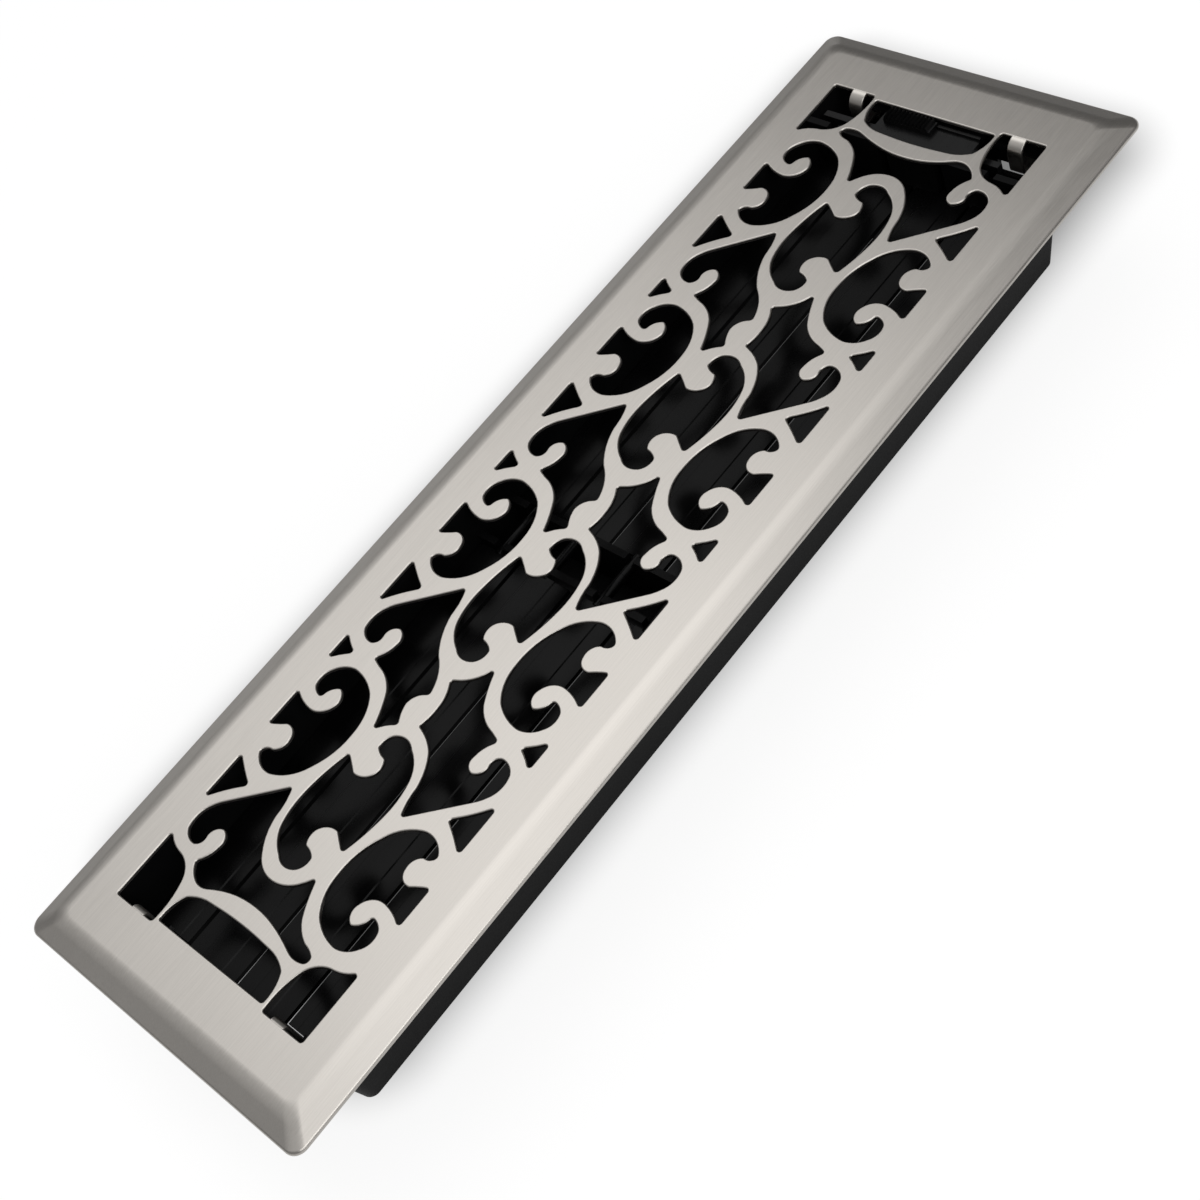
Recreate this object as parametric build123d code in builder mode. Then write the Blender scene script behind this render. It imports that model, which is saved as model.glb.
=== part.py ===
"""Floor register: pressed scroll face, drafted damper box, eight louvers and the thumb slide that turns them.

X runs along the register, Y across it and Z up. The floor is z = 0, where the rim of the face stands.
"""
import os
from math import atan, ceil, cos, degrees, radians, sin, sqrt, tan

from build123d import *

os.makedirs("parts", exist_ok=True)

# Grille sizes
scroll_pitch = 65.3
scroll_cells = 4
end_panel = 16.4
window_width = 70.0
window_length = scroll_cells * scroll_pitch + 2 * end_panel
curl_radius = 6.0
curl_facet = 17.0

# Face plate sizes
sheet = 1.0
face_height = 4.0
face_margin_end = 19.5
face_margin_side = 16.5
face_length = window_length + 2 * face_margin_end
face_width = window_width + 2 * face_margin_side
rim_edge = 0.3
bevel_run = 7.0
bend_radius = 4.0
rim_corner_radius = 3.5
face_underside = face_height - sheet

# Clinch tab sizes
tab_width = 4.6
tab_offset = 26.4
tab_leg_in = 0.8
tab_root = 1.0
tab_bend_radius = 1.8
tab_foot_reach = 5.7
clinch_z = -5.0

# Damper box sizes
box_margin_end = 5.0
box_margin_side = 2.0
box_length = window_length + 2 * box_margin_end
box_width = window_width + 2 * box_margin_side
box_depth = 42.0
box_draft = 8.13
box_wall = 1.6
box_corner_radius = 3.0
cross_wall = 2.0
lever_chamber = 14.5
middle_channel = 11.1
middle_channel_x = 11.45
middle_wall_top = -7.4
channel_floor_z = -24.0
clinch_window_width = 5.8
clinch_window_height = 1.8
clinch_window_cut = 12.0
end_window_offset = 21.5
end_window_width = 11.0
end_window_height = 4.4
end_window_z = -11.0
cut_margin = 0.2

# Louver sizes
louver_axis_z = -10.0
louver_side_gap = 0.32
louver_gap = 1.2
inner_louver_width = 17.4
louver_thickness = 1.4
louver_end_gap = 0.6
spine_width = 7.9
spine_thickness = 2.0
pivot_diameter = 3.0
pivot_play = 0.1
snap_neck = 2.8
lap_play = 0.1
lap_length = 4.0
pin_root = 0.5

# Crank and thumb slide sizes
crank_radius = 5.5
crank_thickness = 2.0
crank_end = 1.8
crank_pin_diameter = 2.2
crank_pin_play = 0.3
crank_pin_tip = 0.5
crank_gap = 0.5
fork_thickness = 2.0
fork_gap = 0.7
fork_drop = 8.0
fork_end = 1.6
slide_underside = -0.2
slide_thickness = 1.5
slide_tuck = 0.3
slide_wall_gap = 0.5
slide_tab_gap = 1.0
slide_end = 2.0
slide_rib_width = 1.0
slide_rib_height = 0.8
slide_ledge_play = 0.1
ledge_thickness = 1.4
ledge_window_gap = 1.0
wall_ledge_width = 2.0
end_ledge_width = 4.1
thumb_pad_height = 1.4
thumb_pad_length = 15.5
thumb_pad_width = 4.2
thumb_pad_setback = 2.0
thumb_pad_end = -14.4
ridge_count = 12
ridge_pitch = 1.25
ridge_gap = 0.2
ridge_height = 1.3

# Derived sizes
slide_stroke = crank_radius * sqrt(2)
box_slope = tan(radians(box_draft))
wall_across = box_wall / cos(radians(box_draft))
inner_half_at_axis = box_width / 2 - (face_underside - louver_axis_z) * box_slope - wall_across
louver_half = inner_half_at_axis - louver_side_gap
outer_louver_width = louver_half - 1.5 * louver_gap - inner_louver_width
inner_row_y = (louver_gap + inner_louver_width) / 2
outer_row_y = louver_half - outer_louver_width / 2
louver_rows_y = [-outer_row_y, -inner_row_y, inner_row_y, outer_row_y]
louver_widths = [outer_louver_width, inner_louver_width, inner_louver_width, outer_louver_width]
bearing_wall_x = -window_length / 2 + lever_chamber
middle_wall_a = middle_channel_x - middle_channel / 2 - cross_wall
middle_wall_b = middle_channel_x + middle_channel / 2 + cross_wall
far_wall_inner = box_length / 2 - (face_underside - louver_axis_z) * box_slope - wall_across
crank_near = bearing_wall_x - cross_wall - crank_gap
crank_far = crank_near - crank_thickness
fork_near = crank_far - fork_gap
fork_far = fork_near - fork_thickness

# The ornament is drawn by hand on a cell of 65.3 by 70 mm and stretched to the sizes asked
along = scroll_pitch / 65.3
across = window_width / 70
panel_end = -end_panel / along


def half_turn(points):
    """The same points turned half a turn about the origin."""
    return [(-x, -y) for x, y in points]


def scroll_arc(start, through, end):
    """Arc through three points, or short straight facets along a tight curl, which keeps the mesh light."""
    arc = ThreePointArc(start, through, end, mode=Mode.PRIVATE)
    if arc.radius > curl_radius:
        add(arc)
        return
    facets = ceil(degrees(arc.length / arc.radius) / curl_facet)
    Polyline(*[arc @ (i / facets) for i in range(facets + 1)])


def opening(*stretches):
    """Sketch of one opening. Two points make a line, a longer stretch has an arc to every second point."""
    with BuildSketch() as drawn:
        with BuildLine():
            for stretch in stretches:
                points = [(x * along, y * across) for x, y in stretch]
                if len(points) == 2:
                    Line(*points)
                for start, through, end in zip(points[::2], points[1::2], points[2::2]):
                    scroll_arc(start, through, end)
        make_face()
    return drawn.sketch


# Opening with a curled hook, at the edge of the window, drawn about the cell's centre
hook_inner = [
    (16.5, 35), (14.5, 31.2), (13.8, 27.5), (14.8, 24.4), (17.4, 22.45), (20.5, 22.4), (22.4, 24.4),
    (21.1, 26.5), (18.1, 27.7),
]
hook_bowl = [
    (18.1, 27.7), (18.5, 29.7), (19.8, 31.4), (22.1, 31.95), (25.2, 30.75), (27.5, 28.2), (28.4, 25.0),
    (27.6, 21.0), (25.0, 16.4), (20.6, 13.5), (14.6, 12.25), (8.3, 12.8), (2.6, 15.1), (-2.1, 18.7),
    (-4.7, 23.7), (-4.1, 28.0), (-1.4, 31.0),
]
hook_bulb = [
    (-1.4, 31.0), (-0.2, 30.2), (0.3, 28.2), (2.2, 26.3), (5.0, 26.05), (7.3, 27.4), (7.8, 30.2),
    (6.5, 32.4), (5.4, 35),
]
hook = opening([(5.4, 35), (16.5, 35)], hook_inner, hook_bowl, hook_bulb)

# Larger edge triangle, drawn about the cell's centre
large_triangle = opening(
    [(-18.9, 35), (-4.6, 35)],
    [(-4.6, 35), (-7.85, 30.3), (-10.1, 26.4)],
    [(-10.1, 26.4), (-14.2, 31.0), (-18.9, 35)],
)

# Smaller edge triangle, drawn about the joint between two cells
small_triangle = opening(
    [(-5.7, 35), (3.0, 35)],
    [(3.0, 35), (0.75, 32.25), (-0.75, 29.0)],
    [(-0.75, 29.0), (-2.95, 32.2), (-5.7, 35)],
)

# S-shaped opening at the cell's centre: half of its outline, and the same half turned
s_half = [
    (10.1, 9.0), (8.2, 6.2), (6.65, 4.1), (6.9, 1.4), (9.0, -1.1), (11.7, -1.5), (13.8, -0.5), (14.4, 1.7),
    (15.4, 3.15), (17.6, 3.1), (19.6, 1.75), (20.5, -1.0), (19.0, -4.8), (16.1, -8.4), (12.5, -10.45),
    (7.7, -11.45), (2.0, -11.45), (-4.6, -10.45), (-10.1, -9.0),
]
s_opening = opening(s_half, half_turn(s_half))

# Leaf scroll with its straight edge and foot, and the flank of the big openings, drawn about a cell joint
leaf = [
    (1.0, 23.0), (3.6, 21.2), (7.0, 20.35), (9.7, 21.0), (10.7, 22.8), (9.5, 24.9), (7.0, 25.6), (4.8, 25.8),
    (3.85, 27.2), (4.4, 29.8), (6.3, 31.8), (9.7, 32.3), (13.2, 31.05), (14.8, 29.9), (16.2, 28.5),
]
leaf_edge = [(16.2, 28.5), (28.3, 15.5)]
leaf_foot = [(28.3, 15.5), (25.4, 14.3), (20.5, 13.45), (15.6, 11.9), (11.5, 9.2)]
flank = [(-14.5, 8.3), (-9.6, 10.15), (-5.0, 12.55), (-2.3, 15.2), (-0.7, 18.2), (0.0, 20.6), (1.0, 23.0)]

# Big opening above the middle strap
upper_big = opening(
    leaf,
    leaf_edge,
    leaf_foot + [(9.2, 6.0), (7.7, 1.9)],
    [(7.7, 1.9), (5.0, 2.55), (1.5, 2.65), (-2.6, 2.0), (-6.1, 0.0)],
    [(-6.1, 0.0), (-8.6, 4.6), (-14.5, 8.3)],
    flank,
)

# Big opening below the middle strap, where a bulb sits on the strap
lower_big = opening(
    half_turn(leaf),
    half_turn(leaf_edge),
    half_turn(leaf_foot[:3]) + [(-14.9, -11.5), (-9.5, -7.8), (-5.3, -4.0), (-0.1, -2.0)],
    [(-0.1, -2.0), (1.6, -4.6), (4.8, -5.8), (7.7, -4.9), (10.2, -3.3)],
    [(10.2, -3.3), (11.8, -5.9), (14.5, -8.3)],
    half_turn(flank),
)

# End opening beside the last cell, drawn about that cell's outer joint
end_opening = opening(
    leaf,
    leaf_edge,
    leaf_foot + [(8.6, 5.8), (7.65, 1.6), (8.6, -2.6), (11.0, -5.8), (12.7, -7.2), (14.5, -8.3)],
    half_turn(flank[:-1]) + [(-0.7, -21.7)],
    [
        (-0.7, -21.7), (-2.0, -21.8), (-2.8, -21.0), (-3.2, -18.5), (-2.65, -15.75), (-0.9, -10.8),
        (0.3, -6.0), (0.85, 0.0), (0.3, 6.3), (-0.9, 10.6), (-2.7, 14.6), (-3.2, 17.2), (-2.4, 19.75),
        (-1.2, 21.4), (1.0, 23.0),
    ],
)

# Corner opening at the end of the window, with the tab on its outer edge
corner_opening = opening(
    [(panel_end, 35), (3.2, 35)],
    [(3.2, 35), (1.2, 32.4), (0.1, 29.0), (-1.4, 25.0), (-4.4, 22.5), (-9.0, 21.2), (panel_end, 21.0)],
    [(panel_end, 21.0), (panel_end, 35)],
)

# Slot for the thumb slide, between the corner openings
slot_end = [(-15.1, 19.6), (-10.6, 19.3), (-7.2, 17.8), (-5.7, 15.0), (-4.9, 10.4)]
thumb_slot = opening(
    slot_end + [(-4.4, 0.0)] + [(x, -y) for x, y in reversed(slot_end)],
    [(-15.1, -19.6), (-15.1, 19.6)],
)

# All forty openings of the grille
cell_centres = [(cell - (scroll_cells - 1) / 2) * scroll_pitch for cell in range(scroll_cells)]
cell_joints = [(joint - scroll_cells / 2) * scroll_pitch for joint in range(1, scroll_cells)]
end_joint = scroll_cells / 2 * scroll_pitch
with BuildSketch() as grille:
    with Locations(*[(x, 0) for x in cell_centres]):
        add(s_opening)
        for turn in (0, 180):
            add(hook, rotation=turn)
            add(large_triangle, rotation=turn)
    with Locations(*[(x, 0) for x in cell_joints]):
        add(upper_big)
        add(lower_big)
        for turn in (0, 180):
            add(small_triangle, rotation=turn)
    for x, turn in ((-end_joint, 0), (end_joint, 180)):
        with Locations((x, 0)):
            add(end_opening, rotation=turn)
            add(thumb_slot, rotation=turn)
            add(corner_opening, rotation=turn)
            add(mirror(corner_opening, about=Plane.XZ, mode=Mode.PRIVATE), rotation=turn)


# Face plate: one pressed and pierced sheet
bevel_angle = atan((face_height - rim_edge) / bevel_run)
foot_inset = 2 * (sheet / sin(bevel_angle) - rim_edge / tan(bevel_angle))
tab_x = window_length / 2 - tab_leg_in
tab_inner = tab_x - sheet / 2
tab_outer = tab_x + sheet / 2
with BuildPart() as face_plate:
    # Sloping block with a soft bend round its flat top, a low upright edge and rounded corners
    with BuildSketch(Plane.XY.offset(rim_edge)):
        Rectangle(face_length, face_width)
    extrude(amount=face_height - rim_edge, taper=90 - degrees(bevel_angle))
    fillet(face_plate.faces().sort_by(Axis.Z)[-1].edges(), bend_radius)
    with BuildSketch():
        Rectangle(face_length, face_width)
    extrude(amount=rim_edge)
    with BuildSketch():
        RectangleRounded(face_length, face_width, rim_corner_radius)
    extrude(amount=face_height, mode=Mode.INTERSECT)
    # Hollow one sheet inside the slopes and the flat
    with BuildSketch():
        Rectangle(face_length - foot_inset, face_width - foot_inset)
    extrude(amount=face_underside, taper=90 - degrees(bevel_angle), mode=Mode.SUBTRACT)
    # Pierced ornament
    with BuildSketch(Plane.XY.offset(face_height)):
        add(grille.sketch)
    extrude(amount=-face_height, mode=Mode.SUBTRACT)
    # Clinch tabs bent down from the corner openings and out through the box's windows
    for end in (-1, 1):
        for side in (-1, 1):
            with BuildSketch(Plane.XZ.offset(-side * tab_offset)) as tab:
                with BuildLine():
                    Polyline(
                        (end * (tab_outer + tab_root), face_height), (end * tab_inner, face_height),
                        (end * tab_inner, clinch_z - sheet),
                        (end * (tab_x + tab_foot_reach), clinch_z - sheet),
                        (end * (tab_x + tab_foot_reach), clinch_z), (end * tab_outer, clinch_z),
                        (end * tab_outer, face_underside),
                        (end * (tab_outer + tab_root), face_underside), close=True,
                    )
                make_face()
                fillet(tab.vertices().sort_by_distance((end * tab_inner, face_height))[0], tab_bend_radius)
            extrude(amount=tab_width / 2, both=True)
face_plate.part.label = "face_plate"
export_step(face_plate.part, "parts/face_plate.step")


box_floor = face_underside - box_depth


def tub(inset, corner):
    """Drafted block of the box's outside, drawn in by the inset."""
    draw_in = box_depth * box_slope
    with BuildPart() as block:
        for plane, half, reach, mode in (
            (Plane.XZ, box_length / 2 - inset, box_width, Mode.ADD),
            (Plane.YZ, box_width / 2 - inset, box_length, Mode.INTERSECT),
        ):
            with BuildSketch(plane.offset(-reach)):
                with BuildLine():
                    Polyline(
                        (-half, face_underside), (half, face_underside),
                        (half - draw_in, box_floor), (-half + draw_in, box_floor), close=True,
                    )
                make_face()
            extrude(amount=2 * reach, mode=mode)
        slanted = block.edges().filter_by(lambda edge: abs(edge.tangent_at(0.5).Z) > 0.5)
        fillet(slanted, corner)
    return block.part


hollow = tub(wall_across, box_corner_radius - box_wall)


def pocket(x0, x1, z0, z1):
    """Part of the box's hollow between two cross planes and two levels."""
    with BuildPart() as block:
        add(hollow)
        with Locations(((x0 + x1) / 2, 0, (z0 + z1) / 2)):
            Box(x1 - x0, box_width, z1 - z0, mode=Mode.INTERSECT)
    return block.part


# Damper box: one moulding with a bearing wall and a middle bearing channel
with BuildPart() as damper_box:
    add(tub(0, box_corner_radius))
    for x0, x1, z0, z1 in (
        (-box_length, bearing_wall_x - cross_wall, box_floor, face_underside),
        (bearing_wall_x, middle_wall_a, box_floor, face_underside),
        (middle_wall_b, box_length, box_floor, face_underside),
        (middle_wall_a + cross_wall, middle_wall_b - cross_wall, channel_floor_z, face_underside),
        (middle_wall_a + cross_wall, middle_wall_b - cross_wall, box_floor, channel_floor_z - box_wall),
        (middle_wall_a, middle_wall_b, middle_wall_top, face_underside),
    ):
        add(pocket(x0, x1, z0, z1), mode=Mode.SUBTRACT)
    # Ledges that carry the thumb slide
    ledge_top = slide_underside - slide_ledge_play
    ledge_reach = tab_offset - clinch_window_width / 2 - ledge_window_gap
    wall_ledge_x = bearing_wall_x - cross_wall
    with Locations((wall_ledge_x - wall_ledge_width / 2, 0, ledge_top - ledge_thickness / 2)):
        Box(wall_ledge_width, 2 * ledge_reach, ledge_thickness)
    with Locations((-box_length / 2 + box_wall + end_ledge_width / 2, 0, ledge_top - ledge_thickness / 2)):
        Box(end_ledge_width, 2 * ledge_reach, ledge_thickness)
    # Windows that take the clinch tabs
    for end in (-1, 1):
        for side in (-1, 1):
            with Locations((end * box_length / 2, side * tab_offset, clinch_z - clinch_window_height / 2)):
                Box(clinch_window_cut, clinch_window_width, clinch_window_height, mode=Mode.SUBTRACT)
    # Window in the end wall of the lever chamber
    with Locations((-box_length / 2, end_window_offset, end_window_z)):
        Box(clinch_window_cut, end_window_width, end_window_height, mode=Mode.SUBTRACT)
    # Bearings: square snap seats in the cross walls, round holes in the far end wall
    seat = pivot_diameter + 2 * pivot_play
    for y in louver_rows_y:
        for x, top in (
            (bearing_wall_x - cross_wall / 2, face_underside),
            (middle_wall_a + cross_wall / 2, middle_wall_top),
            (middle_wall_b - cross_wall / 2, middle_wall_top),
        ):
            with Locations((x, y, louver_axis_z)):
                Box(cross_wall + 2 * cut_margin, seat, seat, mode=Mode.SUBTRACT)
            with Locations((x, y, (louver_axis_z + top) / 2)):
                Box(cross_wall + 2 * cut_margin, snap_neck, top - louver_axis_z, mode=Mode.SUBTRACT)
        with Locations(Location((far_wall_inner + box_wall / 2, y, louver_axis_z), (0, 90, 0))):
            Cylinder(seat / 2, 3 * box_wall, mode=Mode.SUBTRACT)
    # Notches in the wall ledge let the cranks and snap seats be reached from above
    for y in louver_rows_y:
        with Locations((wall_ledge_x - wall_ledge_width / 2, y, ledge_top - ledge_thickness / 2)):
            Box(wall_ledge_width, snap_neck, ledge_thickness, mode=Mode.SUBTRACT)
damper_box.part.label = "damper_box"
export_step(damper_box.part, "parts/damper_box.step")


def slat(x0, x1, width):
    """Flat louver with a thicker spine along its axis, about the X axis."""
    edge = louver_thickness / 2
    top = spine_thickness / 2
    half_spine = spine_width / 2
    half_top = half_spine - (top - edge)
    upper = [(-width / 2, edge), (-half_spine, edge), (-half_top, top)]
    ring = upper + [(-y, z) for y, z in reversed(upper)]
    with BuildPart() as blade:
        with BuildSketch(Plane.YZ.offset(x0)):
            with BuildLine():
                Polyline(*ring, *half_turn(ring), close=True)
            make_face()
        extrude(amount=x1 - x0)
    return blade.part


def rod(x0, x1, diameter, y=0.0, z=0.0):
    """Round bar along X, added to the part being built."""
    with Locations(Location(((x0 + x1) / 2, y, z), (0, 90, 0))):
        Cylinder(diameter / 2, x1 - x0)


# Ends of the two banks: upright, the second clears the sloping end wall, and its outer rows clear the tabs
bank_a0 = bearing_wall_x + louver_end_gap
bank_a1 = middle_wall_a - louver_end_gap
bank_b0 = middle_wall_b + louver_end_gap
inner_b1 = far_wall_inner - inner_louver_width / 2 * box_slope - louver_end_gap
outer_b1 = min(inner_b1, tab_inner - louver_end_gap)
lap_start = middle_channel_x - lap_length / 2
lap_end = middle_channel_x + lap_length / 2

crank_y = -crank_radius * sin(radians(45))
crank_z = crank_radius * cos(radians(45))


def crank_louver(row):
    """Louver of a row next to the thumb slide, with its crank, about the X axis."""
    with BuildPart() as louver:
        add(slat(bank_a0, bank_a1, louver_widths[row]))
        rod(crank_near - pin_root, bank_a0 + pin_root, pivot_diameter)
        rod(bank_a1 - pin_root, lap_end - lap_play, pivot_diameter)
        with Locations((middle_channel_x, 0, pivot_diameter / 2 - lap_play / 2)):
            Box(lap_length, pivot_diameter, pivot_diameter, mode=Mode.SUBTRACT)
        with BuildSketch(Plane.YZ.offset(crank_far)):
            with Locations((crank_y / 2, crank_z / 2)):
                Rectangle(crank_radius + 2 * crank_end, 2 * crank_end, rotation=135)
        extrude(amount=crank_thickness)
        rod(fork_far - crank_pin_tip, crank_far + pin_root, crank_pin_diameter, crank_y, crank_z)
    return louver.part


def plain_louver(row):
    """Louver of a row in the other bank, about the X axis."""
    bank_b1 = [outer_b1, inner_b1, inner_b1, outer_b1][row]
    with BuildPart() as louver:
        add(slat(bank_b0, bank_b1, louver_widths[row]))
        rod(lap_start + lap_play, bank_b0 + pin_root, pivot_diameter)
        with Locations((middle_channel_x, 0, -pivot_diameter / 2 + lap_play / 2)):
            Box(lap_length, pivot_diameter, pivot_diameter, mode=Mode.SUBTRACT)
        rod(bank_b1 - pin_root, far_wall_inner + box_wall, pivot_diameter)
    return louver.part


# Eight louvers, the inner rows wider than the outer ones
for bank, make in (("a", crank_louver), ("b", plain_louver)):
    for row, y in enumerate(louver_rows_y):
        with BuildPart() as placed:
            with Locations((0, y, louver_axis_z)):
                add(make(row))
        placed.part.label = f"louver_{bank}{row + 1}"
        export_step(placed.part, f"parts/louver_{bank}{row + 1}.step")

# Thumb slide: bar on the ledges, ridged pad in the slot and a fork for every crank pin
slide_far = -window_length / 2 - slide_tuck
slide_near = wall_ledge_x - slide_wall_gap
slide_top = slide_underside + slide_thickness
pad_x0 = slide_far + thumb_pad_setback
pad_x1 = pad_x0 + thumb_pad_width
pad_top = slide_top + thumb_pad_height
fork_slot = crank_pin_diameter + 2 * crank_pin_play
fork_y0 = louver_rows_y[0] + crank_y - fork_slot / 2 - fork_end
fork_y1 = louver_rows_y[-1] + crank_y + fork_slot / 2 + fork_end
bar_y0 = thumb_pad_end - slide_end
bar_y1 = tab_offset - tab_width / 2 - slide_stroke - slide_tab_gap
ridge_width = ridge_pitch - ridge_gap
ridge_side = sqrt((ridge_width / 2) ** 2 + ridge_height ** 2)
with BuildPart() as thumb_slide:
    with Locations(((slide_far + slide_near) / 2, (bar_y0 + bar_y1) / 2, (slide_underside + slide_top) / 2)):
        Box(slide_near - slide_far, bar_y1 - bar_y0, slide_thickness)
    with Locations(((fork_near + fork_far) / 2, (fork_y0 + fork_y1) / 2, (slide_top - fork_drop) / 2)):
        Box(fork_thickness, fork_y1 - fork_y0, slide_top + fork_drop)
    fork_root = louver_axis_z + crank_radius + crank_pin_diameter / 2 + crank_pin_play
    for y in louver_rows_y:
        slot_height = fork_root + fork_drop + cut_margin
        with Locations(((fork_near + fork_far) / 2, y + crank_y, fork_root - slot_height / 2)):
            Box(fork_thickness + 2 * cut_margin, fork_slot, slot_height, mode=Mode.SUBTRACT)
    with Locations(((pad_x0 + pad_x1) / 2, thumb_pad_end + thumb_pad_length / 2, (slide_top + pad_top) / 2)):
        Box(thumb_pad_width, thumb_pad_length, thumb_pad_height)
    rib_y0 = thumb_pad_end + thumb_pad_length
    with Locations((pad_x0 + slide_rib_width / 2, (rib_y0 + bar_y1) / 2, slide_top + slide_rib_height / 2)):
        Box(slide_rib_width, bar_y1 - rib_y0, slide_rib_height)
    with BuildSketch(Plane.YZ.offset(pad_x0)):
        with Locations(*[(thumb_pad_end + (i + 0.5) * ridge_pitch, pad_top) for i in range(ridge_count)]):
            Triangle(a=ridge_width, b=ridge_side, c=ridge_side, align=(Align.CENTER, Align.MIN))
    extrude(amount=thumb_pad_width)
thumb_slide.part.label = "thumb_slide"
export_step(thumb_slide.part, "parts/thumb_slide.step")
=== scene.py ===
"""Looks of the floor register: brushed nickel face, black damper box and louvers, soft studio light."""
from math import atan, atan2, cos, pi, radians, sin, tan, tau

import bpy
import numpy as np
from mathutils import Matrix, Vector
from mathutils.geometry import delaunay_2d_cdt


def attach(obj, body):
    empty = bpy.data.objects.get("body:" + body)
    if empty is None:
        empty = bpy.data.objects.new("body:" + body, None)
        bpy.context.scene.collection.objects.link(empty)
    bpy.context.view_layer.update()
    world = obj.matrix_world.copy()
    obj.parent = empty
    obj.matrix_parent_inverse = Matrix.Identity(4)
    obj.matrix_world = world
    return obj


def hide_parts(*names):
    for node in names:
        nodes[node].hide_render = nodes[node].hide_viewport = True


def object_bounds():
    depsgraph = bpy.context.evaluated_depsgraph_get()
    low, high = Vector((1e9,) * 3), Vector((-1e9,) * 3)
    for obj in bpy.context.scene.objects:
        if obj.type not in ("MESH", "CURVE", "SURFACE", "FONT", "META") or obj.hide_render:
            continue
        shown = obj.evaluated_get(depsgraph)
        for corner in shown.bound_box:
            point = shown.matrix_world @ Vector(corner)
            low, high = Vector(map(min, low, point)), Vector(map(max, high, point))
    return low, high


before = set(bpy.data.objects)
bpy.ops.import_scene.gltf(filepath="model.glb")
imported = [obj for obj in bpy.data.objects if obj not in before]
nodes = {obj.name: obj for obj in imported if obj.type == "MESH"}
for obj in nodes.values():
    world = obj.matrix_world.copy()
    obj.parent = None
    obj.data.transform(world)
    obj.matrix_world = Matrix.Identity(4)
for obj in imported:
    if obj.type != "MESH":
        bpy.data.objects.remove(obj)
cad_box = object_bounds()
scene = bpy.context.scene
scene.view_settings.view_transform = "Standard"


# Small helpers for shader nodes
def add_node(tree, kind, inputs=None, **settings):
    """New node with its settings and its constant inputs."""
    node = tree.nodes.new(kind)
    for name, value in settings.items():
        setattr(node, name, value)
    for name, value in (inputs or {}).items():
        node.inputs[name].default_value = value
    return node


def start_material(name):
    """Empty node material with its Principled shader."""
    material = bpy.data.materials.new(name)
    material.use_nodes = True
    tree = material.node_tree
    tree.nodes.clear()
    output = add_node(tree, "ShaderNodeOutputMaterial")
    shader = add_node(tree, "ShaderNodeBsdfPrincipled")
    tree.links.new(shader.outputs["BSDF"], output.inputs["Surface"])
    return material, tree, shader


def noise(tree, stretch, detail, rough):
    """Noise in object space, in cycles a metre along each axis."""
    place = add_node(tree, "ShaderNodeTexCoord")
    scale = add_node(tree, "ShaderNodeMapping", {"Scale": stretch})
    texture = add_node(tree, "ShaderNodeTexNoise", {"Scale": 1.0, "Detail": detail, "Roughness": rough})
    tree.links.new(place.outputs["Object"], scale.inputs["Vector"])
    tree.links.new(scale.outputs["Vector"], texture.inputs["Vector"])
    return texture.outputs["Fac"]


def to_range(tree, value, low, high, start=0.3, end=0.7):
    """The value's range start to end spread over low to high."""
    limits = {"From Min": start, "From Max": end, "To Min": low, "To Max": high}
    spread = add_node(tree, "ShaderNodeMapRange", limits)
    tree.links.new(value, spread.inputs["Value"])
    return spread.outputs["Result"]


def blend_colours(tree, value, dark, light):
    """Colour between two colours by the value."""
    factor, first_colour, second_colour, colour_result = 0, 6, 7, 2
    mix = add_node(tree, "ShaderNodeMix", data_type="RGBA")
    mix.inputs[first_colour].default_value = (*dark, 1.0)
    mix.inputs[second_colour].default_value = (*light, 1.0)
    tree.links.new(value, mix.inputs[factor])
    return mix.outputs[colour_result]


def bump(tree, height, distance, strength):
    """Bump from a height."""
    node = add_node(tree, "ShaderNodeBump", {"Distance": distance, "Strength": strength})
    tree.links.new(height, node.inputs["Height"])
    return node.outputs["Normal"]


def sum_of(tree, first, second, share):
    """The first value with a share of the second."""
    node = add_node(tree, "ShaderNodeMath", operation="MULTIPLY_ADD")
    node.inputs[1].default_value = share
    tree.links.new(second, node.inputs[0])
    tree.links.new(first, node.inputs[2])
    return node.outputs[0]


def product(tree, first, second):
    """Product of two values."""
    node = add_node(tree, "ShaderNodeMath", operation="MULTIPLY")
    tree.links.new(first, node.inputs[0])
    tree.links.new(second, node.inputs[1])
    return node.outputs[0]


def soft_step(tree, value, start, end, low, high):
    """Smooth step from low to high while the value goes from start to end."""
    limits = {"From Min": start, "From Max": end, "To Min": low, "To Max": high}
    step = add_node(tree, "ShaderNodeMapRange", limits, interpolation_type="SMOOTHSTEP")
    tree.links.new(value, step.inputs["Value"])
    return step.outputs["Result"]


def vector_math(tree, operation, source, constant=(0.0, 0.0, 0.0)):
    """Result of a vector operation with a constant vector."""
    node = add_node(tree, "ShaderNodeVectorMath", operation=operation)
    node.inputs[1].default_value = constant
    tree.links.new(source, node.inputs[0])
    return node.outputs["Value" if operation == "LENGTH" else "Vector"]


def dress(tree, shader, colour, roughness, normal):
    """Link a colour, a roughness and a normal to the shader."""
    tree.links.new(colour, shader.inputs["Base Color"])
    tree.links.new(roughness, shader.inputs["Roughness"])
    tree.links.new(normal, shader.inputs["Normal"])


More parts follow.
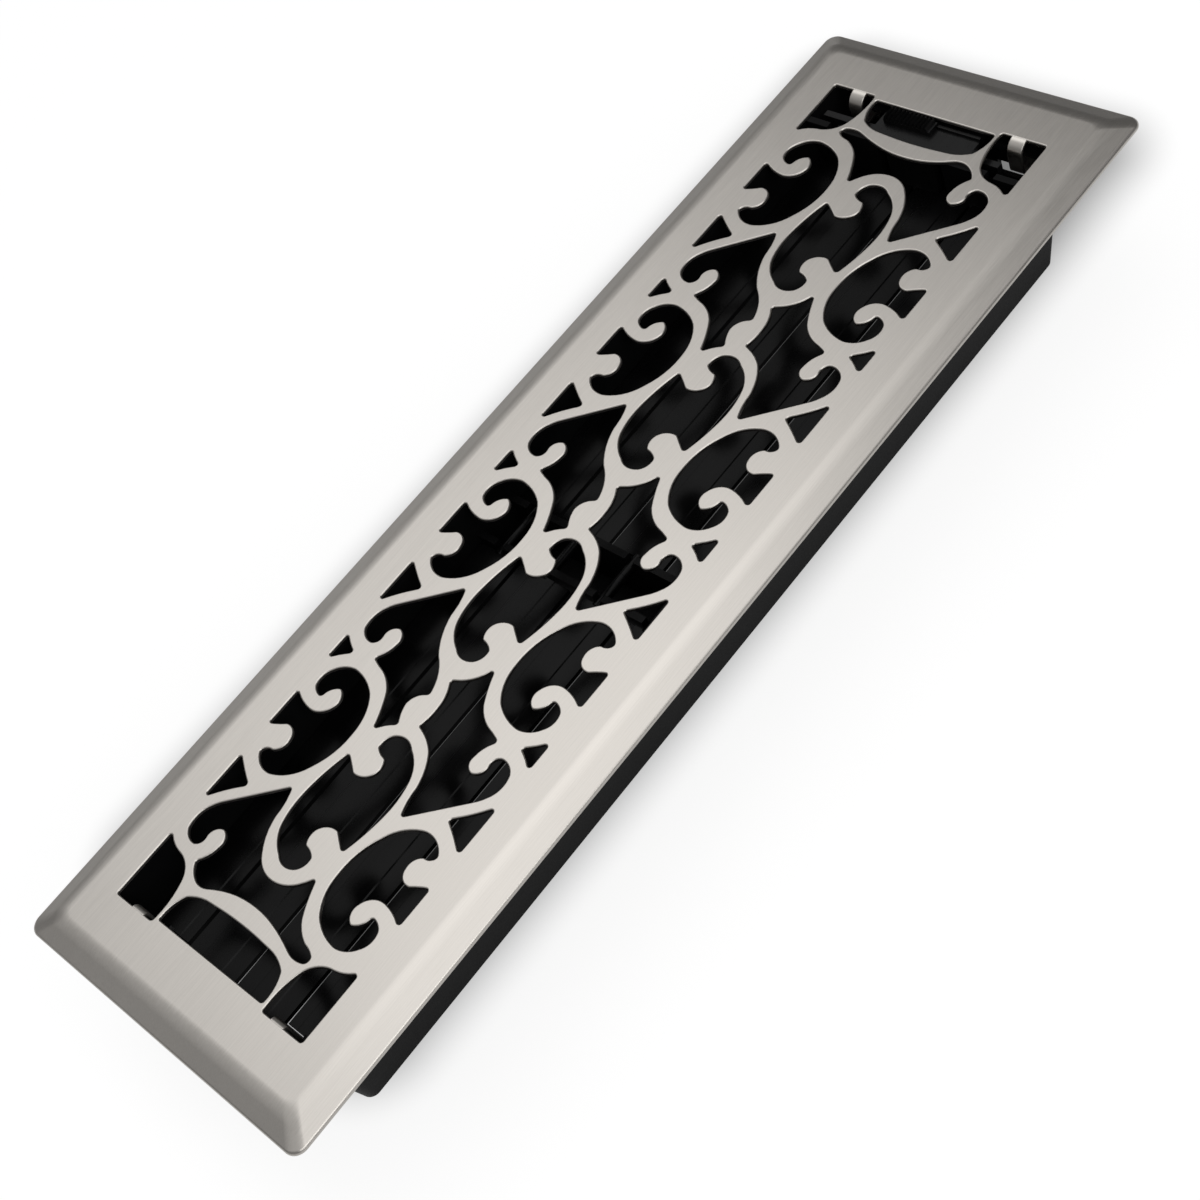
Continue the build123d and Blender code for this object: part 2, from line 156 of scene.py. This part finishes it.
# Brushed nickel: fine streaks along the length
nickel_dark = (0.618, 0.587, 0.547)
nickel_light = (0.692, 0.658, 0.615)
nickel, tree, shader = start_material("brushed_nickel")
fine = noise(tree, (110, 3600, 3600), detail=3.0, rough=0.65)
broad = noise(tree, (12, 420, 420), detail=2.0, rough=0.5)
cloud = noise(tree, (18, 30, 30), detail=2.0, rough=0.5)
streak = sum_of(tree, fine, broad, share=0.15)
tone = to_range(tree, sum_of(tree, streak, cloud, share=0.25), 0.0, 1.0, start=0.5, end=0.9)
dress(
    tree,
    shader,
    colour=blend_colours(tree, tone, nickel_dark, nickel_light),
    roughness=to_range(tree, streak, 0.28, 0.36, start=0.35, end=0.8),
    normal=bump(tree, streak, distance=0.00002, strength=0.1),
)
shader.inputs["Metallic"].default_value = 1.0
shader.inputs["Anisotropic"].default_value = 0.45
tangent = add_node(tree, "ShaderNodeTangent", direction_type="RADIAL", axis="X")
tree.links.new(tangent.outputs["Tangent"], shader.inputs["Tangent"])

# Satin black moulding of the box
box_dark = (0.003, 0.003, 0.0032)
box_light = (0.006, 0.006, 0.0063)
moulding, tree, shader = start_material("black_plastic")
grain = noise(tree, (2600, 2600, 2600), detail=2.0, rough=0.5)
flow = noise(tree, (22, 40, 40), detail=3.0, rough=0.5)
dress(
    tree,
    shader,
    colour=blend_colours(tree, to_range(tree, flow, 0.0, 1.0), box_dark, box_light),
    roughness=to_range(tree, sum_of(tree, grain, flow, share=0.5), 0.40, 0.54, start=0.5, end=1.0),
    normal=bump(tree, grain, distance=0.00006, strength=0.35),
)
shader.inputs["Specular IOR Level"].default_value = 0.10

# Smoother black moulding of the louvers
louver_dark = (0.0015, 0.0015, 0.0016)
louver_light = (0.003, 0.003, 0.0032)
gloss, tree, shader = start_material("black_plastic_louver")
flow = noise(tree, (9, 160, 160), detail=3.0, rough=0.5)
dust = noise(tree, (900, 900, 900), detail=2.0, rough=0.6)
dress(
    tree,
    shader,
    colour=blend_colours(tree, to_range(tree, flow, 0.0, 1.0), louver_dark, louver_light),
    roughness=to_range(tree, sum_of(tree, flow, dust, share=0.3), 0.22, 0.30, start=0.45, end=0.85),
    normal=bump(tree, dust, distance=0.00003, strength=0.15),
)
shader.inputs["Specular IOR Level"].default_value = 0.12

# Black moulding of the thumb slide, a little rubbed
slide_dark = (0.003, 0.003, 0.0032)
slide_light = (0.007, 0.007, 0.0073)
rubbed, tree, shader = start_material("black_plastic_slide")
grain = noise(tree, (1800, 1800, 1800), detail=2.0, rough=0.5)
wear = noise(tree, (160, 220, 160), detail=3.0, rough=0.6)
dress(
    tree,
    shader,
    colour=blend_colours(tree, to_range(tree, wear, 0.0, 1.0), slide_dark, slide_light),
    roughness=to_range(tree, wear, 0.24, 0.34),
    normal=bump(tree, grain, distance=0.00005, strength=0.3),
)
shader.inputs["Specular IOR Level"].default_value = 0.3

# Rounding of the mouldings' edges, in metres
box_softening = 0.0002
small_softening = 0.0001
softening_steps = 2
softened_angle = radians(38)


def finish_with(node, material):
    """The material in every slot of a CAD node."""
    for slot in node.material_slots:
        slot.material = material


def soften(node, width):
    """Rounded edges as a moulding has."""
    edge = node.modifiers.new("soft_edges", "BEVEL")
    edge.width = width
    edge.segments = softening_steps
    edge.limit_method = "ANGLE"
    edge.angle_limit = softened_angle
    edge.use_clamp_overlap = False
    edge.harden_normals = True


for name, node in nodes.items():
    if name == "face_plate":
        finish_with(node, nickel)
    elif name == "damper_box":
        finish_with(node, moulding)
        soften(node, box_softening)
    elif name == "thumb_slide":
        finish_with(node, rubbed)
        soften(node, small_softening)
    else:
        finish_with(node, gloss)
        soften(node, small_softening)

# Sizes of the pierced face in millimetres, as in the part's source
millimetre = 0.001
scroll_pitch = 65.3
scroll_cells = 4
end_panel = 16.4
window_length = scroll_cells * scroll_pitch + 2 * end_panel
half_length = 166.5
half_width = 51.5
face_height = 4.0
sheet = 1.0
rim_corner = 3.5
tab_offset = 26.4
tab_width = 4.6
clinch_z = -5.0

# Border with a gentler slope and wider bends than in the part's source
rim_edge = 1.4
bevel_run = 6.3
bend_radius = 11.0
rim_round = 1.0
foot_inset = 1.1
foot_corner = rim_corner - 1.0
under_corner = rim_corner - 1.4
corner_loss = 0.9
bend_steps = 16
rim_steps = 8
under_steps = 5

# Tabs, with a wider bend at the far end (-1) than at the near end (1)
tab_edge = window_length / 2
tab_leg_in = {-1: 3.0, 1: 0.8}
tab_bend = {-1: 3.5, 1: 1.3}
tab_foot_end = tab_edge + 4.9
tab_foot_bend = 0.9
tab_corner = 0.3
tab_sink = 0.03
tab_lap = 0.4
tab_bend_steps = 16
tab_foot_steps = 8
tab_corner_steps = 4

# Openings with worn tips and a rolled upper edge
drawn_step = 0.25
tip_radius = 0.6
rolled_edge = 0.4
roll_steps = 4


def half_turn(points):
    """The same points turned half a turn about the origin."""
    return [(-x, -y) for x, y in points]


def arc(start, through, end):
    """Points along the arc through three points, without its end."""
    (ax, ay), (bx, by), (cx, cy) = start, through, end
    area = 2 * (ax * (by - cy) + bx * (cy - ay) + cx * (ay - by))
    a2, b2, c2 = ax * ax + ay * ay, bx * bx + by * by, cx * cx + cy * cy
    mid = np.array((
        (a2 * (by - cy) + b2 * (cy - ay) + c2 * (ay - by)) / area,
        (a2 * (cx - bx) + b2 * (ax - cx) + c2 * (bx - ax)) / area,
    ))
    radius = np.hypot(ax - mid[0], ay - mid[1])
    first = atan2(ay - mid[1], ax - mid[0])
    last = atan2(cy - mid[1], cx - mid[0])
    sweep = (last - first) % tau if area > 0 else -((first - last) % tau)
    steps = max(2, round(abs(sweep) * radius / drawn_step))
    angles = first + sweep * np.arange(steps) / steps
    return mid + radius * np.column_stack((np.cos(angles), np.sin(angles)))


def even_out(ring, step):
    """Closed outline with points at equal steps."""
    closed = np.vstack((ring, ring[:1]))
    run = np.concatenate(([0.0], np.cumsum(np.hypot(*np.diff(closed, axis=0).T))))
    places = np.arange(round(run[-1] / step)) * run[-1] / round(run[-1] / step)
    return np.column_stack((np.interp(places, run, closed[:, 0]), np.interp(places, run, closed[:, 1])))


def turning(ring):
    """Turn and mean side length at every point of a closed outline."""
    before = ring - np.roll(ring, 1, axis=0)
    after = np.roll(ring, -1, axis=0) - ring
    cross = before[:, 0] * after[:, 1] - before[:, 1] * after[:, 0]
    turn = np.arctan2(cross, np.sum(before * after, axis=1))
    return turn, (np.hypot(*before.T) + np.hypot(*after.T)) / 2


def round_tips(ring, radius, rounds=12, passes=8):
    """Closed outline with its sharp tips worn down to about a radius."""
    for _ in range(rounds):
        for _ in range(passes):
            turn, side = turning(ring)
            sharp = np.abs(turn) > side / radius
            middle = (np.roll(ring, 1, axis=0) + np.roll(ring, -1, axis=0)) / 2
            ring = np.where(sharp[:, None], (ring + middle) / 2, ring)
        ring = even_out(ring, drawn_step)
    return ring


def thin_out(ring, most_turn=0.11, most_side=2.0):
    """Closed outline without the points that add little to its shape."""
    turn, side = turning(ring)
    kept = []
    bent, run = most_turn, 0.0
    for place, (angle, length) in enumerate(zip(np.abs(turn), side)):
        bent += angle
        run += length
        if bent >= most_turn or run >= most_side:
            kept.append(place)
            bent, run = 0.0, 0.0
    return ring[kept]


def opening(*stretches):
    """Outline of one opening. Two points make a line, a longer stretch has an arc to every second point."""
    points = []
    for stretch in stretches:
        if len(stretch) == 2:
            points.append(np.array(stretch[:1], float))
        for start, through, end in zip(stretch[::2], stretch[1::2], stretch[2::2]):
            points.append(arc(start, through, end))
    ring = even_out(np.vstack(points), drawn_step)
    if np.sum(ring[:, 0] * np.roll(ring[:, 1], -1) - ring[:, 1] * np.roll(ring[:, 0], -1)) < 0:
        ring = ring[::-1]
    return thin_out(round_tips(ring, tip_radius))


# Opening with a curled hook, at the edge of the window, drawn about the cell's centre
hook_inner = [
    (16.5, 35), (14.5, 31.2), (13.8, 27.5), (14.8, 24.4), (17.4, 22.45), (20.5, 22.4), (22.4, 24.4),
    (21.1, 26.5), (18.1, 27.7),
]
hook_bowl = [
    (18.1, 27.7), (18.5, 29.7), (19.8, 31.4), (22.1, 31.95), (25.2, 30.75), (27.5, 28.2), (28.4, 25.0),
    (27.6, 21.0), (25.0, 16.4), (20.6, 13.5), (14.6, 12.25), (8.3, 12.8), (2.6, 15.1), (-2.1, 18.7),
    (-4.7, 23.7), (-4.1, 28.0), (-1.4, 31.0),
]
hook_bulb = [
    (-1.4, 31.0), (-0.2, 30.2), (0.3, 28.2), (2.2, 26.3), (5.0, 26.05), (7.3, 27.4), (7.8, 30.2),
    (6.5, 32.4), (5.4, 35),
]
hook = opening([(5.4, 35), (16.5, 35)], hook_inner, hook_bowl, hook_bulb)

# Edge triangles: the larger drawn about the cell's centre, the smaller about the joint of two cells
large_triangle = opening(
    [(-18.9, 35), (-4.6, 35)],
    [(-4.6, 35), (-7.85, 30.3), (-10.1, 26.4)],
    [(-10.1, 26.4), (-14.2, 31.0), (-18.9, 35)],
)
small_triangle = opening(
    [(-5.7, 35), (3.0, 35)],
    [(3.0, 35), (0.75, 32.25), (-0.75, 29.0)],
    [(-0.75, 29.0), (-2.95, 32.2), (-5.7, 35)],
)

# S-shaped opening at the cell's centre: half of its outline, and the same half turned
s_half = [
    (10.1, 9.0), (8.2, 6.2), (6.65, 4.1), (6.9, 1.4), (9.0, -1.1), (11.7, -1.5), (13.8, -0.5), (14.4, 1.7),
    (15.4, 3.15), (17.6, 3.1), (19.6, 1.75), (20.5, -1.0), (19.0, -4.8), (16.1, -8.4), (12.5, -10.45),
    (7.7, -11.45), (2.0, -11.45), (-4.6, -10.45), (-10.1, -9.0),
]
s_opening = opening(s_half, half_turn(s_half))

# Leaf scroll with its straight edge and foot, and the flank of the big openings, drawn about a cell joint
leaf = [
    (1.0, 23.0), (3.6, 21.2), (7.0, 20.35), (9.7, 21.0), (10.7, 22.8), (9.5, 24.9), (7.0, 25.6),
    (4.8, 25.8), (3.85, 27.2), (4.4, 29.8), (6.3, 31.8), (9.7, 32.3), (13.2, 31.05), (14.8, 29.9),
    (16.2, 28.5),
]
leaf_edge = [(16.2, 28.5), (28.3, 15.5)]
leaf_foot = [(28.3, 15.5), (25.4, 14.3), (20.5, 13.45), (15.6, 11.9), (11.5, 9.2)]
flank = [(-14.5, 8.3), (-9.6, 10.15), (-5.0, 12.55), (-2.3, 15.2), (-0.7, 18.2), (0.0, 20.6), (1.0, 23.0)]

# Big openings above and below the middle strap, a bulb on the strap in the lower one
upper_big = opening(
    leaf,
    leaf_edge,
    leaf_foot + [(9.2, 6.0), (7.7, 1.9)],
    [(7.7, 1.9), (5.0, 2.55), (1.5, 2.65), (-2.6, 2.0), (-6.1, 0.0)],
    [(-6.1, 0.0), (-8.6, 4.6), (-14.5, 8.3)],
    flank,
)
lower_big = opening(
    half_turn(leaf),
    half_turn(leaf_edge),
    half_turn(leaf_foot[:3]) + [(-14.9, -11.5), (-9.5, -7.8), (-5.3, -4.0), (-0.1, -2.0)],
    [(-0.1, -2.0), (1.6, -4.6), (4.8, -5.8), (7.7, -4.9), (10.2, -3.3)],
    [(10.2, -3.3), (11.8, -5.9), (14.5, -8.3)],
    half_turn(flank),
)

# End opening beside the last cell, drawn about that cell's outer joint
end_opening = opening(
    leaf,
    leaf_edge,
    leaf_foot + [(8.6, 5.8), (7.65, 1.6), (8.6, -2.6), (11.0, -5.8), (12.7, -7.2), (14.5, -8.3)],
    half_turn(flank[:-1]) + [(-0.7, -21.7)],
    [
        (-0.7, -21.7), (-2.0, -21.8), (-2.8, -21.0), (-3.2, -18.5), (-2.65, -15.75), (-0.9, -10.8),
        (0.3, -6.0), (0.85, 0.0), (0.3, 6.3), (-0.9, 10.6), (-2.7, 14.6), (-3.2, 17.2), (-2.4, 19.75),
        (-1.2, 21.4), (1.0, 23.0),
    ],
)

# Corner opening at the end of the window, and the slot for the thumb slide
corner_opening = opening(
    [(-end_panel, 35), (3.2, 35)],
    [(3.2, 35), (1.2, 32.4), (0.1, 29.0), (-1.4, 25.0), (-4.4, 22.5), (-9.0, 21.2), (-end_panel, 21.0)],
    [(-end_panel, 21.0), (-end_panel, 35)],
)
slot_end = [(-15.1, 19.6), (-10.6, 19.3), (-7.2, 17.8), (-5.7, 15.0), (-4.9, 10.4)]
thumb_slot = opening(
    slot_end + [(-4.4, 0.0)] + [(x, -y) for x, y in reversed(slot_end)],
    [(-15.1, -19.6), (-15.1, 19.6)],
)
mirrored_corner = corner_opening[::-1] * (1, -1)

# All forty openings in their places
openings = []
for cell in range(scroll_cells):
    centre = ((cell - (scroll_cells - 1) / 2) * scroll_pitch, 0)
    openings.append(s_opening + centre)
    for turn in (1, -1):
        openings += [hook * turn + centre, large_triangle * turn + centre]
for joint in range(1, scroll_cells):
    centre = ((joint - scroll_cells / 2) * scroll_pitch, 0)
    openings += [upper_big + centre, lower_big + centre]
    for turn in (1, -1):
        openings.append(small_triangle * turn + centre)
for turn in (1, -1):
    centre = (-turn * scroll_cells / 2 * scroll_pitch, 0)
    for ring in (end_opening, thumb_slot, corner_opening, mirrored_corner):
        openings.append(ring * turn + centre)


def holds(ring, point):
    """True where a closed outline goes round a point."""
    ends = np.roll(ring, -1, axis=0)
    crossed = (ring[:, 1] > point[1]) != (ends[:, 1] > point[1])
    start, end = ring[crossed], ends[crossed]
    met = start[:, 0] + (point[1] - start[:, 1]) * (end[:, 0] - start[:, 0]) / (end[:, 1] - start[:, 1])
    return np.count_nonzero(met > point[0]) % 2 == 1


class Skin:
    """Points and faces of one piece, with a normal for every corner of every face."""

    def __init__(self):
        self.points = []
        self.faces = []
        self.normals = []

    def ring(self, flat_points, heights):
        """Add a ring of points at a height, and give their numbers."""
        first = len(self.points)
        for (x, y), z in zip(flat_points, np.broadcast_to(heights, len(flat_points))):
            self.points.append((x, y, z))
        return list(range(first, len(self.points)))

    def face(self, corners, normals):
        """Add a face, turned the way its normals point."""
        a, b, c = (Vector(self.points[corners[place]]) for place in (0, 1, -1))
        if (b - a).cross(c - a).dot(Vector(normals[0])) < 0:
            corners = corners[::-1]
            normals = normals[::-1]
        self.faces.append(corners)
        self.normals += normals

    def strip(self, lower, upper, lower_normals, upper_normals):
        """Faces between two rings with as many points."""
        count = len(lower)
        for i in range(count):
            j = (i + 1) % count
            self.face(
                (lower[i], lower[j], upper[j], upper[i]),
                [lower_normals[i], lower_normals[j], upper_normals[j], upper_normals[i]],
            )

    def sheet_between(self, border, holes, upward):
        """Flat faces between a border ring and the rings of the openings."""
        numbers = border + [number for hole in holes for number in hole]
        flat_points = [Vector(self.points[number][:2]) for number in numbers]
        edges = []
        owners = []
        for place, loop in enumerate([border] + holes):
            start = len(owners)
            edges += [(start + i, start + (i + 1) % len(loop)) for i in range(len(loop))]
            owners += [place] * len(loop)
        outlines = [np.array([self.points[number][:2] for number in hole]) for hole in holes]
        keep_inside, merge_within = 1, 1e-7
        filled = delaunay_2d_cdt(flat_points, edges, [], keep_inside, merge_within)
        _, _, triangles, sources, _, _ = filled
        for triangle in triangles:
            places = [sources[corner][0] for corner in triangle]
            owner = owners[places[0]]
            if owner and all(owners[place] == owner for place in places):
                centre = sum((flat_points[place] for place in places), Vector((0, 0))) / len(places)
                if holds(outlines[owner - 1], centre):
                    continue
            corners = tuple(numbers[place] for place in places)
            self.face(corners, [(0, 0, 1 if upward else -1)] * len(places))

    def piece(self, name, material):
        """The Blender object, in metres."""
        mesh = bpy.data.meshes.new(name)
        mesh.from_pydata([Vector(point) * millimetre for point in self.points], [], self.faces)
        mesh.materials.append(material)
        mesh.normals_split_custom_set(self.normals)
        made = bpy.data.objects.new(name, mesh)
        scene.collection.objects.link(made)
        return made


def outward(ring):
    """Unit direction out of a closed outline at every point."""
    along = np.roll(ring, -1, axis=0) - np.roll(ring, 1, axis=0)
    along /= np.hypot(*along.T)[:, None]
    return np.column_stack((along[:, 1], -along[:, 0]))


def tilted(directions, lean):
    """Normals that lean from upright by an angle towards the directions."""
    return [(x * sin(lean), y * sin(lean), cos(lean)) for x, y in directions]


def rounded_rectangle(half_x, half_y, corner, steps=12):
    """Outline of a rectangle with rounded corners, and the direction out of it at every point."""
    angles = np.arange(steps + 1) * (pi / 2) / steps
    ring = []
    directions = []
    for quarter, (side_x, side_y) in enumerate(((1, 1), (-1, 1), (-1, -1), (1, -1))):
        turned = angles + quarter * pi / 2
        facing = np.column_stack((np.cos(turned), np.sin(turned)))
        directions.append(facing)
        ring.append(np.array((side_x * (half_x - corner), side_y * (half_y - corner))) + corner * facing)
    return np.vstack(ring), np.vstack(directions)


# Profile of the pressed border: inset from the rim, height and lean of the surface
bevel = atan((face_height - rim_edge) / bevel_run)
bend_start = bevel_run + bend_radius * tan(bevel / 2)
rim_round_z = rim_edge - rim_round * tan((pi / 2 - bevel) / 2)
border = []
for step in range(bend_steps + 1):
    lean = bevel * step / bend_steps
    border.append((bend_start - bend_radius * sin(lean), face_height - bend_radius * (1 - cos(lean)), lean))
for step in range(rim_steps + 1):
    lean = bevel + (pi / 2 - bevel) * step / rim_steps
    border.append((rim_round * (1 - sin(lean)), rim_round_z + rim_round * cos(lean), lean))
for step in range(1, under_steps + 1):
    lean = pi / 2 * (1 + step / under_steps)
    border.append((rim_round_z * (1 - sin(lean)), rim_round_z * (1 + cos(lean)), lean))
under_inset = foot_inset + (face_height - sheet) / tan(bevel)

skin = Skin()
rings = []
for inset, height, lean in border:
    corner = rim_corner - corner_loss * inset / bend_start
    flat_points, directions = rounded_rectangle(half_length - inset, half_width - inset, corner)
    rings.append((skin.ring(flat_points, height), tilted(directions, lean)))
for (inner, inner_normals), (outer, outer_normals) in zip(rings, rings[1:]):
    skin.strip(inner, outer, inner_normals, outer_normals)
foot_points, directions = rounded_rectangle(half_length - foot_inset, half_width - foot_inset, foot_corner)
foot = skin.ring(foot_points, 0.0)
under_points, _ = rounded_rectangle(half_length - under_inset, half_width - under_inset, under_corner)
under = skin.ring(under_points, face_height - sheet)
down = [(0, 0, -1)] * len(foot)
inward = tilted(-directions, pi - bevel)
skin.strip(rings[-1][0], foot, down, down)
skin.strip(foot, under, inward, inward)

# Walls of the openings with a rolled upper edge
roll_leans = [pi / 2 * (1 - step / roll_steps) for step in range(roll_steps + 1)]
top_holes = []
bottom_holes = []
for ring in openings:
    away = outward(ring)
    lower = skin.ring(ring, face_height - sheet)
    bottom_holes.append(lower)
    lower_normals = tilted(-away, pi / 2)
    for lean in roll_leans:
        rolled = ring + away * rolled_edge * (1 - sin(lean))
        upper = skin.ring(rolled, face_height - rolled_edge * (1 - cos(lean)))
        upper_normals = tilted(-away, lean)
        skin.strip(upper, lower, upper_normals, lower_normals)
        lower, lower_normals = upper, upper_normals
    top_holes.append(lower)
skin.sheet_between(rings[0][0], top_holes, True)
skin.sheet_between(under, bottom_holes, False)

# Clinch tabs bent down from the sheet and out through the box's windows
foot_z = clinch_z - sheet / 2
tab_top = face_height - tab_sink - sheet / 2


def tab_path(leg, bend):
    """Points along the middle of a tab in its end's plane, with the lean of its outer side."""
    path = [(leg + bend + tab_lap, tab_top, pi / 2)]
    for step in range(tab_bend_steps + 1):
        lean = pi / 2 + pi / 2 * step / tab_bend_steps
        path.append((leg + bend * (1 + cos(lean)), tab_top - bend * (1 - sin(lean)), lean))
    for step in range(tab_foot_steps + 1):
        lean = pi + pi / 2 * step / tab_foot_steps
        foot_x = leg + tab_foot_bend * (1 + cos(lean))
        path.append((foot_x, foot_z + tab_foot_bend * (1 + sin(lean)), lean))
    path.append((tab_foot_end, foot_z, 1.5 * pi))
    return path


section, facing = rounded_rectangle(tab_width / 2, sheet / 2, tab_corner, tab_corner_steps)
for end in (-1, 1):
    for side in (-1, 1):
        sections = []
        for x, z, lean in tab_path(tab_edge - tab_leg_in[end], tab_bend[end]):
            first = len(skin.points)
            normals = []
            for (y, rise), (face_y, face_rise) in zip(section, facing):
                point_x = end * (x + rise * cos(lean))
                skin.points.append((point_x, side * tab_offset + y, z + rise * sin(lean)))
                normals.append((end * face_rise * cos(lean), face_y, face_rise * sin(lean)))
            sections.append((list(range(first, len(skin.points))), normals))
        for (lower, lower_normals), (upper, upper_normals) in zip(sections, sections[1:]):
            skin.strip(lower, upper, lower_normals, upper_normals)
        for cap in (sections[0][0], sections[-1][0]):
            skin.face(tuple(cap), [(end, 0, 0)] * len(cap))

face = skin.piece("pierced_face", nickel)
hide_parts("face_plate")
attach(face, "register")

# Camera at the photograph's place
camera_place = (0.1567, 0.2937, 0.3665)
right = Vector((-0.61902, 0.71892, -0.31618))
up = Vector((-0.73295, -0.38420, 0.56140))
look = Vector((-0.28212, -0.57926, -0.76476))
lens = bpy.data.cameras.new("camera")
lens.sensor_width = 36.0
lens.lens = 58.93
lens.clip_start = 0.01
camera = bpy.data.objects.new("camera", lens)
scene.collection.objects.link(camera)
camera_axes = Matrix((right, up, -look)).transposed().to_4x4()
camera.matrix_world = Matrix.Translation(camera_place) @ camera_axes
scene.camera = camera

# Pale floor under the box: matt for its light on the part, white to the eye and in reflections
floor_half = 4.0
matt_colour = (0.85, 0.85, 0.85, 1.0)
shaded_colour = (0.25, 0.25, 0.25, 1.0)
glow_colour = (1.0, 1.0, 1.0, 1.0)
plane = bpy.data.meshes.new("floor")
floor_corners = [(x * floor_half, y * floor_half, 0.0) for x, y in ((-1, -1), (1, -1), (1, 1), (-1, 1))]
plane.from_pydata(floor_corners, [], [(0, 1, 2, 3)])
floor = bpy.data.objects.new("floor", plane)
floor.location.z = cad_box[0][2]
scene.collection.objects.link(floor)
paper = bpy.data.materials.new("pale_floor")
paper.use_nodes = True
tree = paper.node_tree
tree.nodes.clear()
output = add_node(tree, "ShaderNodeOutputMaterial")
rays = add_node(tree, "ShaderNodeLightPath")
seen = add_node(tree, "ShaderNodeMath", operation="ADD", use_clamp=True)
matt = add_node(tree, "ShaderNodeBsdfDiffuse", {"Color": matt_colour})
shaded = add_node(tree, "ShaderNodeBsdfDiffuse", {"Color": shaded_colour})
glow = add_node(tree, "ShaderNodeEmission", {"Color": glow_colour})
white = add_node(tree, "ShaderNodeAddShader")
mix = add_node(tree, "ShaderNodeMixShader")
tree.links.new(rays.outputs["Is Camera Ray"], seen.inputs[0])
tree.links.new(rays.outputs["Is Glossy Ray"], seen.inputs[1])
tree.links.new(shaded.outputs[0], white.inputs[0])
tree.links.new(glow.outputs[0], white.inputs[1])
tree.links.new(seen.outputs[0], mix.inputs["Fac"])
tree.links.new(matt.outputs[0], mix.inputs[1])
tree.links.new(white.outputs[0], mix.inputs[2])
tree.links.new(mix.outputs[0], output.inputs["Surface"])

# The floor's glow drops in a painted shadow round the register's foot, set towards the far end and far
# side, over the real shadow that its matt part shows; it fades far from the register as a painted pool of
# light, and is dimmer in reflections
shade_middle = (-0.026, -0.0275, 0.0)
shade_half = (0.156, 0.0425, 0.0)
shade_fade = 0.03
shade_white = 0.10
open_white = 0.86
pool_half = (0.30, 0.50)
pool_end = 1.7
far_share = 0.22
mirrored_share = 0.55
spot = add_node(tree, "ShaderNodeTexCoord").outputs["Object"]
reach = vector_math(tree, "ABSOLUTE", vector_math(tree, "SUBTRACT", spot, shade_middle))
outside = vector_math(tree, "MAXIMUM", vector_math(tree, "SUBTRACT", reach, shade_half))
distance = vector_math(tree, "LENGTH", outside)
# Painted shadow: the glow falls to shade_white inside the shade box and rises to open_white over shade_fade
# outside it
clear = soft_step(tree, distance, 0.0, shade_fade, shade_white, open_white)
pool_scale = (1 / pool_half[0], 1 / pool_half[1], 0.0)
pool_reach = vector_math(tree, "LENGTH", vector_math(tree, "MULTIPLY", spot, pool_scale))
# Painted pool of light: full glow within pool_half, fading to far_share at pool_end times pool_half
painted_light_pool = soft_step(tree, pool_reach, 1.0, pool_end, 1.0, far_share)
mirrored = to_range(tree, rays.outputs["Is Glossy Ray"], 1.0, mirrored_share, start=0.0, end=1.0)
strength = product(tree, product(tree, clear, painted_light_pool), mirrored)
tree.links.new(strength, glow.inputs["Strength"])
plane.materials.append(paper)

# Soft room light: a long bright band overhead, dim towards the horizon and both ends
# Each step has an axis, its start and end along it, and the share of light at both
sky_turn = radians(4)
least_light = 0.11
sky_steps = (
    ("X", -0.63, -0.27, 0.0, 1.0),
    ("X", -0.09, 0.21, 1.05, 0.33),
    ("Z", 0.35, 0.90, 0.2, 1.0),
    ("Y", -0.72, -0.52, 0.80, 1.38),
    ("Y", -0.45, 0.25, 1.0, 0.79),
)
world = bpy.data.worlds.new("studio")
scene.world = world
world.use_nodes = True
tree = world.node_tree
tree.nodes.clear()
output = add_node(tree, "ShaderNodeOutputWorld")
sky = add_node(tree, "ShaderNodeBackground", {"Strength": 1.0})
place = add_node(tree, "ShaderNodeTexCoord")
turned = add_node(tree, "ShaderNodeMapping", {"Rotation": (0.0, 0.0, sky_turn)})
split = add_node(tree, "ShaderNodeSeparateXYZ")
tree.links.new(place.outputs["Generated"], turned.inputs["Vector"])
tree.links.new(turned.outputs["Vector"], split.inputs["Vector"])
light = None
for axis, start, end, low, high in sky_steps:
    share = soft_step(tree, split.outputs[axis], start, end, low, high)
    light = share if light is None else product(tree, light, share)
level = add_node(tree, "ShaderNodeMath", operation="ADD")
level.inputs[1].default_value = least_light
tree.links.new(light, level.inputs[0])
tree.links.new(level.outputs[0], sky.inputs["Color"])
tree.links.new(sky.outputs["Background"], output.inputs["Surface"])

# Weak lamp behind the camera, aimed at the register
lamp_place = Vector((0.35, 1.1, 0.75))
lamp = bpy.data.lights.new("behind_camera", "AREA")
lamp.shape = "RECTANGLE"
lamp.size = 1.2
lamp.size_y = 0.5
lamp.energy = 3.0
holder = bpy.data.objects.new("behind_camera", lamp)
holder.location = lamp_place
holder.rotation_euler = (-lamp_place).to_track_quat("-Z", "Y").to_euler()
scene.collection.objects.link(holder)
